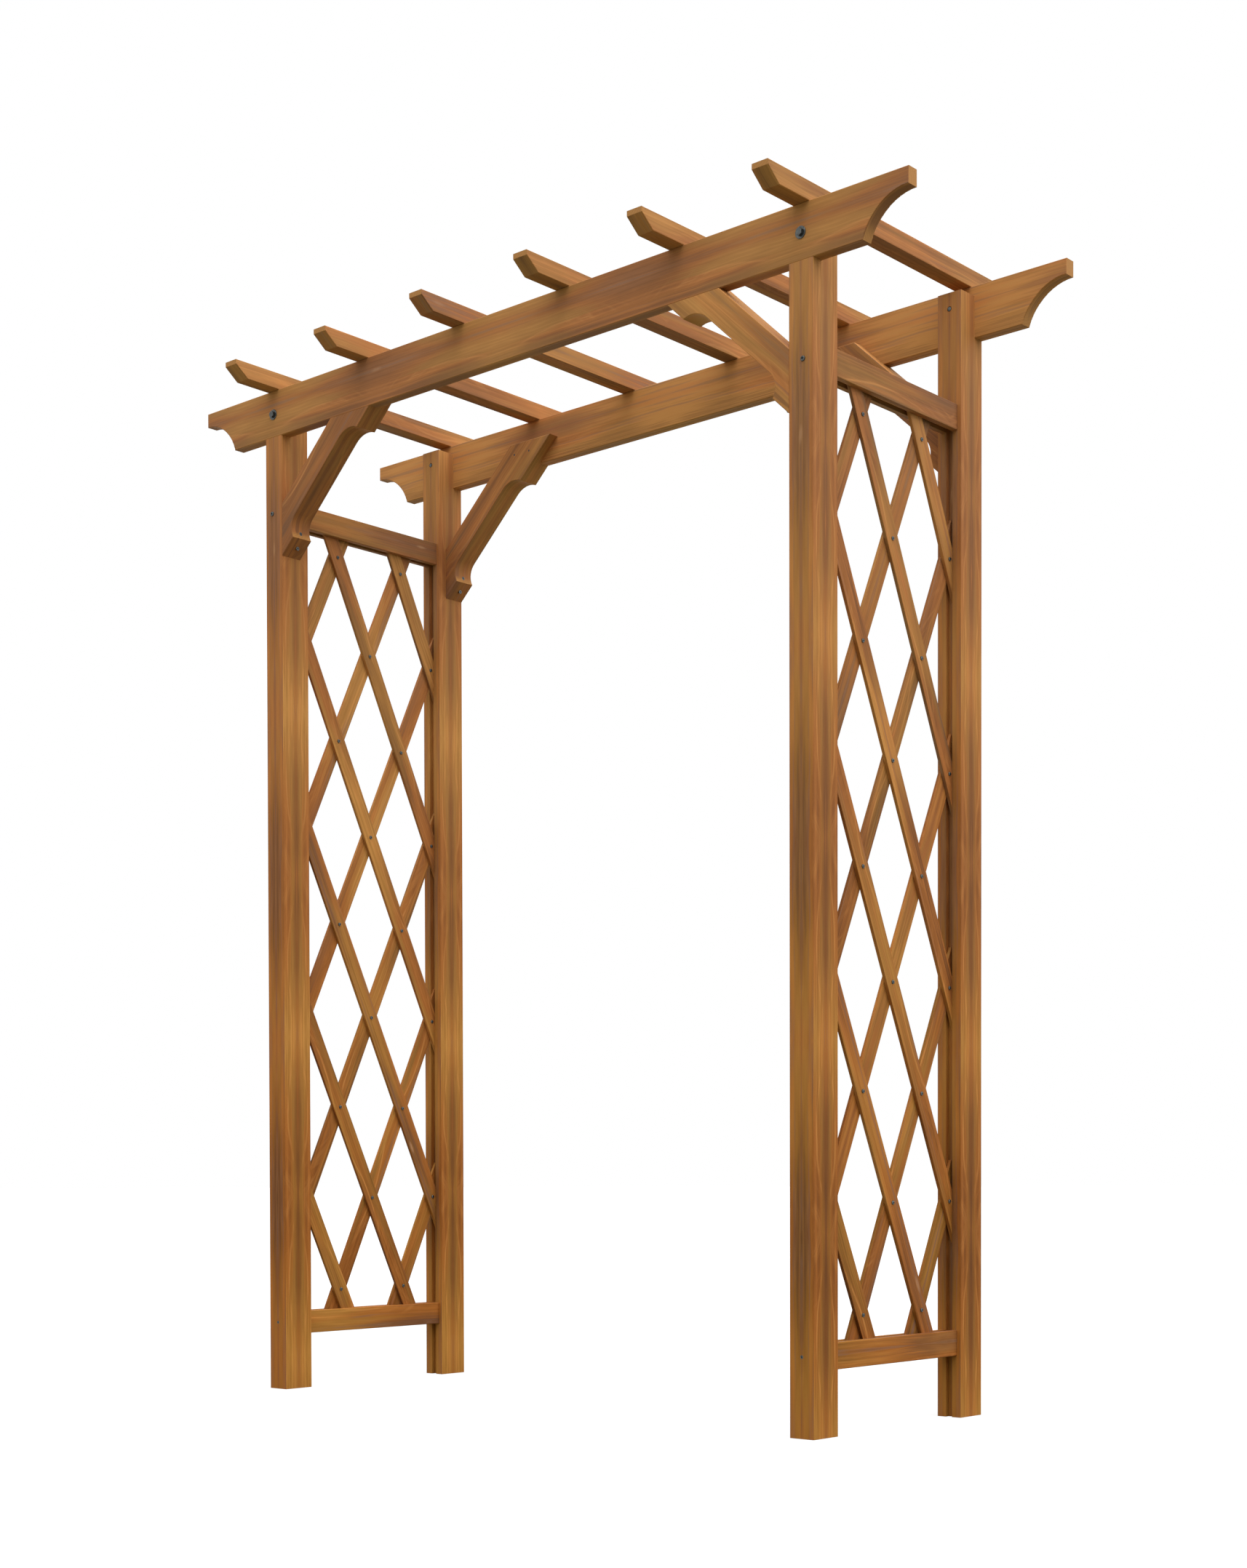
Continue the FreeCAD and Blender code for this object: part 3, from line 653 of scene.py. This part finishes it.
# Places and lengths of the screws
TOP_SCREW_OUT = 0.005  # outwards from the middle of the post
TOP_SCREW_RISE = 0.0175  # above the rail's underside
TOP_SCREW_STAGGER = 0.0038
BOTTOM_SCREW_RISE = 0.0275
RAIL_BITE = 0.035
FOOT_PLACES = ((0.0333, 1.929), (0.02308, 1.8984))  # out from the post, and height
FOOT_BITE = 0.028
LAP_PLACES = (0.2326, 0.2796)  # out from the post
LAP_RISE = 0.026  # above the underside of the beam
LAP_SCREW_LENGTH = 0.0445
RAFTER_SCREW_LENGTH = 0.066
LATTICE_SCREW_LENGTH = 0.013
LATTICE_SCREW_TIP = 0.002
SCREW_SEED = 7  # for the turns of the cross recesses


def ring(bm, points):
    return [bm.verts.new(p) for p in points]


def circle(radius, height, count=SCREW_STEPS):
    turns = [2 * math.pi * k / count for k in range(count)]
    return [(radius * math.cos(t), radius * math.sin(t), height) for t in turns]


def skin(bm, first, second):
    """Faces between two rings of as many points."""
    count = len(first)
    for k in range(count):
        bm.faces.new((first[k], first[(k + 1) % count], second[(k + 1) % count], second[k]))


def stack(bm, loops):
    """Rings of points, each joined to the next."""
    rings = [ring(bm, points) for points in loops]
    for first, second in zip(rings, rings[1:]):
        skin(bm, first, second)
    return rings


def cross(reach, half_width, height):
    """Outline of the cross recess in a screw head."""
    corners = []
    for k in range(4):
        c, s = math.cos(k * math.pi / 2), math.sin(k * math.pi / 2)
        for x, y in ((half_width, -half_width), (reach, -half_width), (reach, half_width)):
            corners.append((x * c - y * s, x * s + y * c, height))
    return corners


def recessed(bm, crown, radius, height):
    """Closes the top of a screw head, with the cross recess in it."""
    recess = ring(bm, cross(CROSS_REACH * radius, CROSS_HALF * radius, height))
    edges = []
    for loop in (crown, recess):
        for a, b in zip(loop, loop[1:] + loop[:1]):
            edges.append(bm.edges.get((a, b)) or bm.edges.new((a, b)))
    bmesh.ops.triangle_fill(bm, edges=edges, use_beauty=True)
    depth = CROSS_DEPTH * radius
    bottom = ring(bm, cross(CROSS_FLOOR_REACH * radius, CROSS_FLOOR_HALF * radius, height - depth))
    skin(bm, recess, bottom)
    bm.faces.new(bottom)


def screw(profile, radius, shank_radius, length, tip):
    """Cross-head screw, head up at the origin. profile holds the head from its crown down to its seat."""
    bm = bmesh.new()
    shaft = [(shank_radius, tip - length), (shank_radius * TIP_SHARE, -length)]
    loops = stack(bm, [circle(r, z) for r, z in profile + shaft])
    bm.faces.new(loops[-1])
    recessed(bm, loops[0], radius, profile[0][1])
    return bm


def countersunk(radius, shank_radius, length):
    seat = (shank_radius, shank_radius - radius)
    profile = [(radius - RIM, 0.0), (radius, -RIM), seat]
    return screw(profile, radius, shank_radius, length, SCREW_TIP)


def pan_head(radius, shank_radius, length, tip=SCREW_TIP):
    profile = [(r * radius, z * PAN_HEIGHT * radius) for r, z in PAN_PROFILE]
    return screw(profile + [(shank_radius, 0.0)], radius, shank_radius, length, tip)


def hex_bolt():
    """Hex head with a chamfered top, over its washer, and the shank down to its end."""
    bm = bmesh.new()
    turns = [2 * math.pi * k / BOLT_STEPS for k in range(BOLT_STEPS)]
    flat_radius = BOLT_FLATS / 2
    reach = [flat_radius / math.cos((t % (math.pi / 3)) - math.pi / 6) for t in turns]
    outline = [(r * math.cos(t), r * math.sin(t), r) for r, t in zip(reach, turns)]
    top = WASHER_THICKNESS + BOLT_HEAD_HEIGHT
    crown = BOLT_CROWN * flat_radius
    end = -POST_DEPTH - BOLT_END
    loops = stack(bm, [
        circle(crown, top, BOLT_STEPS),
        [(x, y, top - math.tan(BOLT_CHAMFER) * (r - crown)) for x, y, r in outline],
        [(x, y, WASHER_THICKNESS) for x, y, r in outline],
        circle(BOLT_RADIUS, WASHER_THICKNESS, BOLT_STEPS),
        circle(BOLT_RADIUS, end + BOLT_END_CHAMFER, BOLT_STEPS),
        circle(BOLT_RADIUS - BOLT_END_CHAMFER, end, BOLT_STEPS),
    ])
    bm.faces.new(loops[0])
    bm.faces.new(loops[-1])
    return bm


def washer():
    bm = bmesh.new()
    rings = stack(bm, [
        circle(WASHER_BORE, 0, BOLT_STEPS),
        circle(WASHER_RADIUS - WASHER_EDGE, 0, BOLT_STEPS),
        circle(WASHER_RADIUS, WASHER_EDGE, BOLT_STEPS),
        circle(WASHER_RADIUS, WASHER_THICKNESS - WASHER_EDGE, BOLT_STEPS),
        circle(WASHER_RADIUS - WASHER_EDGE, WASHER_THICKNESS, BOLT_STEPS),
        circle(WASHER_BORE, WASHER_THICKNESS, BOLT_STEPS),
    ])
    skin(bm, rings[-1], rings[0])
    return bm


def fasteners(name, batches, node):
    """One piece with copies of each shape, at places (head, way it is driven, turn about its axis)."""
    joined = bmesh.new()
    for shape, places in batches:
        template = bpy.data.meshes.new(name + "_one")
        bmesh.ops.recalc_face_normals(shape, faces=shape.faces[:])
        shape.to_mesh(template)
        shape.free()
        for head, way, about in places:
            turn = Vector((0, 0, -1)).rotation_difference(Vector(way)).to_matrix().to_4x4()
            copy = template.copy()
            copy.transform(Matrix.Translation(head) @ turn @ Matrix.Rotation(about, 4, "Z"))
            joined.from_mesh(copy)
            bpy.data.meshes.remove(copy)
        bpy.data.meshes.remove(template)
    mesh = bpy.data.meshes.new(name)
    joined.to_mesh(mesh)
    joined.free()
    mesh.materials.append(STEEL)
    mesh.shade_smooth()
    mesh.set_sharp_from_angle(angle=SHARP_ANGLE)
    piece = bpy.data.objects.new(name, mesh)
    bpy.context.scene.collection.objects.link(piece)
    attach(piece, "root")
    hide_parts(node)


screw_turns = random.Random(SCREW_SEED)


def spin():
    return screw_turns.uniform(0, math.pi)


bolt_places = [
    ((sx * POST_CENTRE_X, sy * OUTER_Y, BEAM_UNDERSIDE + BOLT_RISE), (0, -sy, 0), BOLT_TURN)
    for sx, sy in CORNERS
]
fasteners("hex_bolts", [(hex_bolt(), bolt_places)], "beam_bolts")
fasteners("round_washers", [(washer(), bolt_places)], "bolt_washers")


def rail_screws(out, height, stagger):
    """Places through the posts into the ends of the rails."""
    return [
        ((sx * (POST_CENTRE_X + out), sy * OUTER_Y, height + sx * sy * stagger), (0, -sy, 0), spin())
        for sx, sy in CORNERS
    ]


top_screws = rail_screws(TOP_SCREW_OUT, TOP_RAIL_UNDERSIDE + TOP_SCREW_RISE, TOP_SCREW_STAGGER)
bottom_screws = rail_screws(0.0, BOTTOM_RAIL_UNDERSIDE + BOTTOM_SCREW_RISE, 0.0)
into_rail = POST_DEPTH + RAIL_BITE
fasteners(
    "rail_cross_screws",
    [
        (pan_head(*TOP_RAIL_SCREW, into_rail), top_screws),
        (countersunk(*BOTTOM_RAIL_SCREW, into_rail), bottom_screws),
    ],
    "rail_screws",
)


def foot_screws(out, height):
    """Screws in the foot of each brace, out from the post, that end in the post."""
    places = [
        ((sx * (POST_FACE_X - out), sy * BRACE_CENTRE_Y, height), (sx, 0, 0), spin())
        for sx, sy in CORNERS
    ]
    return countersunk(*FOOT_SCREW, out + FOOT_BITE), places


fasteners("brace_foot_screws", [foot_screws(*place) for place in FOOT_PLACES], "brace_post_screws")
lap_screws = [
    ((sx * (POST_FACE_X - out), sy * BRACE_INNER_Y, BEAM_UNDERSIDE + LAP_RISE), (0, sy, 0), spin())
    for sx, sy in CORNERS
    for out in LAP_PLACES
]
lap_screw = countersunk(*LAP_SCREW, LAP_SCREW_LENGTH)
fasteners("brace_lap_screws", [(lap_screw, lap_screws)], "brace_beam_screws")
rafter_screws = [
    ((x, sy * BEAM_CENTRE_Y, RAFTER_TOP), (0, 0, -1), spin())
    for x in RAFTER_PLACES
    for sy in FACES.values()
]
rafter_screw = countersunk(*RAFTER_SCREW, RAFTER_SCREW_LENGTH)
fasteners("rafter_cross_screws", [(rafter_screw, rafter_screws)], "rafter_screws")


def crossing(sx, column, row):
    """Place of a lattice crossing on the lattice's +X face."""
    y = (column - LATTICE_COLUMNS / 2) * COLUMN_PITCH
    return sx * POST_CENTRE_X + SLAT_THICKNESS, y, FIRST_ROW - row * ROW_PITCH


for side, sx in SIDES.items():
    crossings = [
        (crossing(sx, column, row), (-1, 0, 0), spin())
        for column in range(LATTICE_COLUMNS + 1)
        for row in range(LATTICE_ROWS + 1)
        if (column + row) % 2 == 1
    ]
    lattice_screw = pan_head(*LATTICE_SCREW, LATTICE_SCREW_LENGTH, LATTICE_SCREW_TIP)
    fasteners("lattice_cross_screws_" + side, [(lattice_screw, crossings)], "lattice_screws_" + side)

# Floor and light
FLOOR_RADIUS = 60
FLOOR_STEPS = 96
FLOOR_DROP = 0.0005  # under the feet
FLOOR_BOUNCE = (0.138, 0.144, 0.078, 1)
FLOOR_SHADE = (0.18, 0.18, 0.18, 1)
FLOOR_WHITE = 0.82
WHITE = (1, 1, 1, 1)
SKY_LIGHT = 0.76

# Way towards each soft light, its strength on a face square to it, and its spread in degrees
SUNS = {
    "key": ((0.38, -0.15, 0.90), 0.70, 80),
    "right": ((0.80, 0.55, 0.25), 0.30, 60),
    "front": ((-0.25, -0.95, 0.20), 0.13, 60),
    "fill": ((-0.6, 0.55, 0.3), 0.15, 90),
    "overhead": ((0.1, 0.0, 1.0), 0.30, 40),
}


def shown_ray(tree):
    """One where the camera, or a reflection, looks straight at the surface."""
    path = add(tree, "LightPath")
    seen = calc(tree, "MAXIMUM", path.outputs["Is Camera Ray"], path.outputs["Is Glossy Ray"])
    return calc(tree, "MAXIMUM", seen, path.outputs["Is Transmission Ray"])


def floor():
    """Pale floor that keeps the shadow and bounces an olive light."""
    mesh = bpy.data.meshes.new("floor")
    bm = bmesh.new()
    bmesh.ops.create_circle(bm, cap_ends=True, radius=FLOOR_RADIUS, segments=FLOOR_STEPS)
    bm.to_mesh(mesh)
    bm.free()
    piece = bpy.data.objects.new("floor", mesh)
    piece.location.z = cad_low.z - FLOOR_DROP
    bpy.context.scene.collection.objects.link(piece)
    material = bpy.data.materials.new("pale_floor")
    tree = new_nodes(material)
    bounce = add(tree, "BsdfDiffuse", {"Color": FLOOR_BOUNCE})
    shade = add(tree, "BsdfDiffuse", {"Color": FLOOR_SHADE})
    white = add(tree, "Emission", {"Color": WHITE, "Strength": FLOOR_WHITE})
    pale = add(tree, "AddShader", {0: shade.outputs[0], 1: white.outputs[0]})
    both = add(tree, "MixShader", {0: shown_ray(tree), 1: bounce.outputs[0], 2: pale.outputs[0]})
    add(tree, "OutputMaterial", {0: both.outputs[0]})
    mesh.materials.append(material)


def studio():
    """Even white surroundings."""
    world = bpy.data.worlds.new("studio")
    bpy.context.scene.world = world
    tree = new_nodes(world)
    soft = add(tree, "Background", {"Color": WHITE, "Strength": SKY_LIGHT})
    white = add(tree, "Background", {"Color": WHITE, "Strength": 1.0})
    both = add(tree, "MixShader", {0: shown_ray(tree), 1: soft.outputs[0], 2: white.outputs[0]})
    add(tree, "OutputWorld", {0: both.outputs[0]})


def sun(name, towards, strength, spread):
    """Soft light that comes from the direction towards."""
    data = bpy.data.lights.new(name, "SUN")
    data.energy = strength * math.pi
    data.angle = math.radians(spread)
    lamp = bpy.data.objects.new(name, data)
    lamp.rotation_mode = "QUATERNION"
    lamp.rotation_quaternion = Vector(towards).to_track_quat("Z", "Y")
    bpy.context.scene.collection.objects.link(lamp)


floor()
studio()
for name, settings in SUNS.items():
    sun(name, *settings)

# Camera at the photograph's place: nearly level, looking along the diagonal, with the frame shifted up
PHOTO_WIDTH = 1714
PHOTO_HEIGHT = 2156
SENSOR = 36.0
LENS = 51.6434
SHIFT_UP = 0.27170
CAMERA_PLACE = (3.231135, -3.593954, 0.496509)
CAMERA_TURN = (88.97065, 0.13097, 41.44788)
CLIP_END = 200.0
camera = bpy.data.cameras.new("camera")
camera.sensor_fit = "VERTICAL"
camera.sensor_height = SENSOR
camera.sensor_width = SENSOR * PHOTO_WIDTH / PHOTO_HEIGHT
camera.lens = LENS
camera.shift_y = SHIFT_UP
camera.clip_end = CLIP_END
viewer = bpy.data.objects.new("camera", camera)
viewer.location = CAMERA_PLACE
viewer.rotation_euler = [math.radians(angle) for angle in CAMERA_TURN]
bpy.context.scene.collection.objects.link(viewer)
bpy.context.scene.camera = viewer
bpy.context.scene.view_settings.view_transform = "Standard"
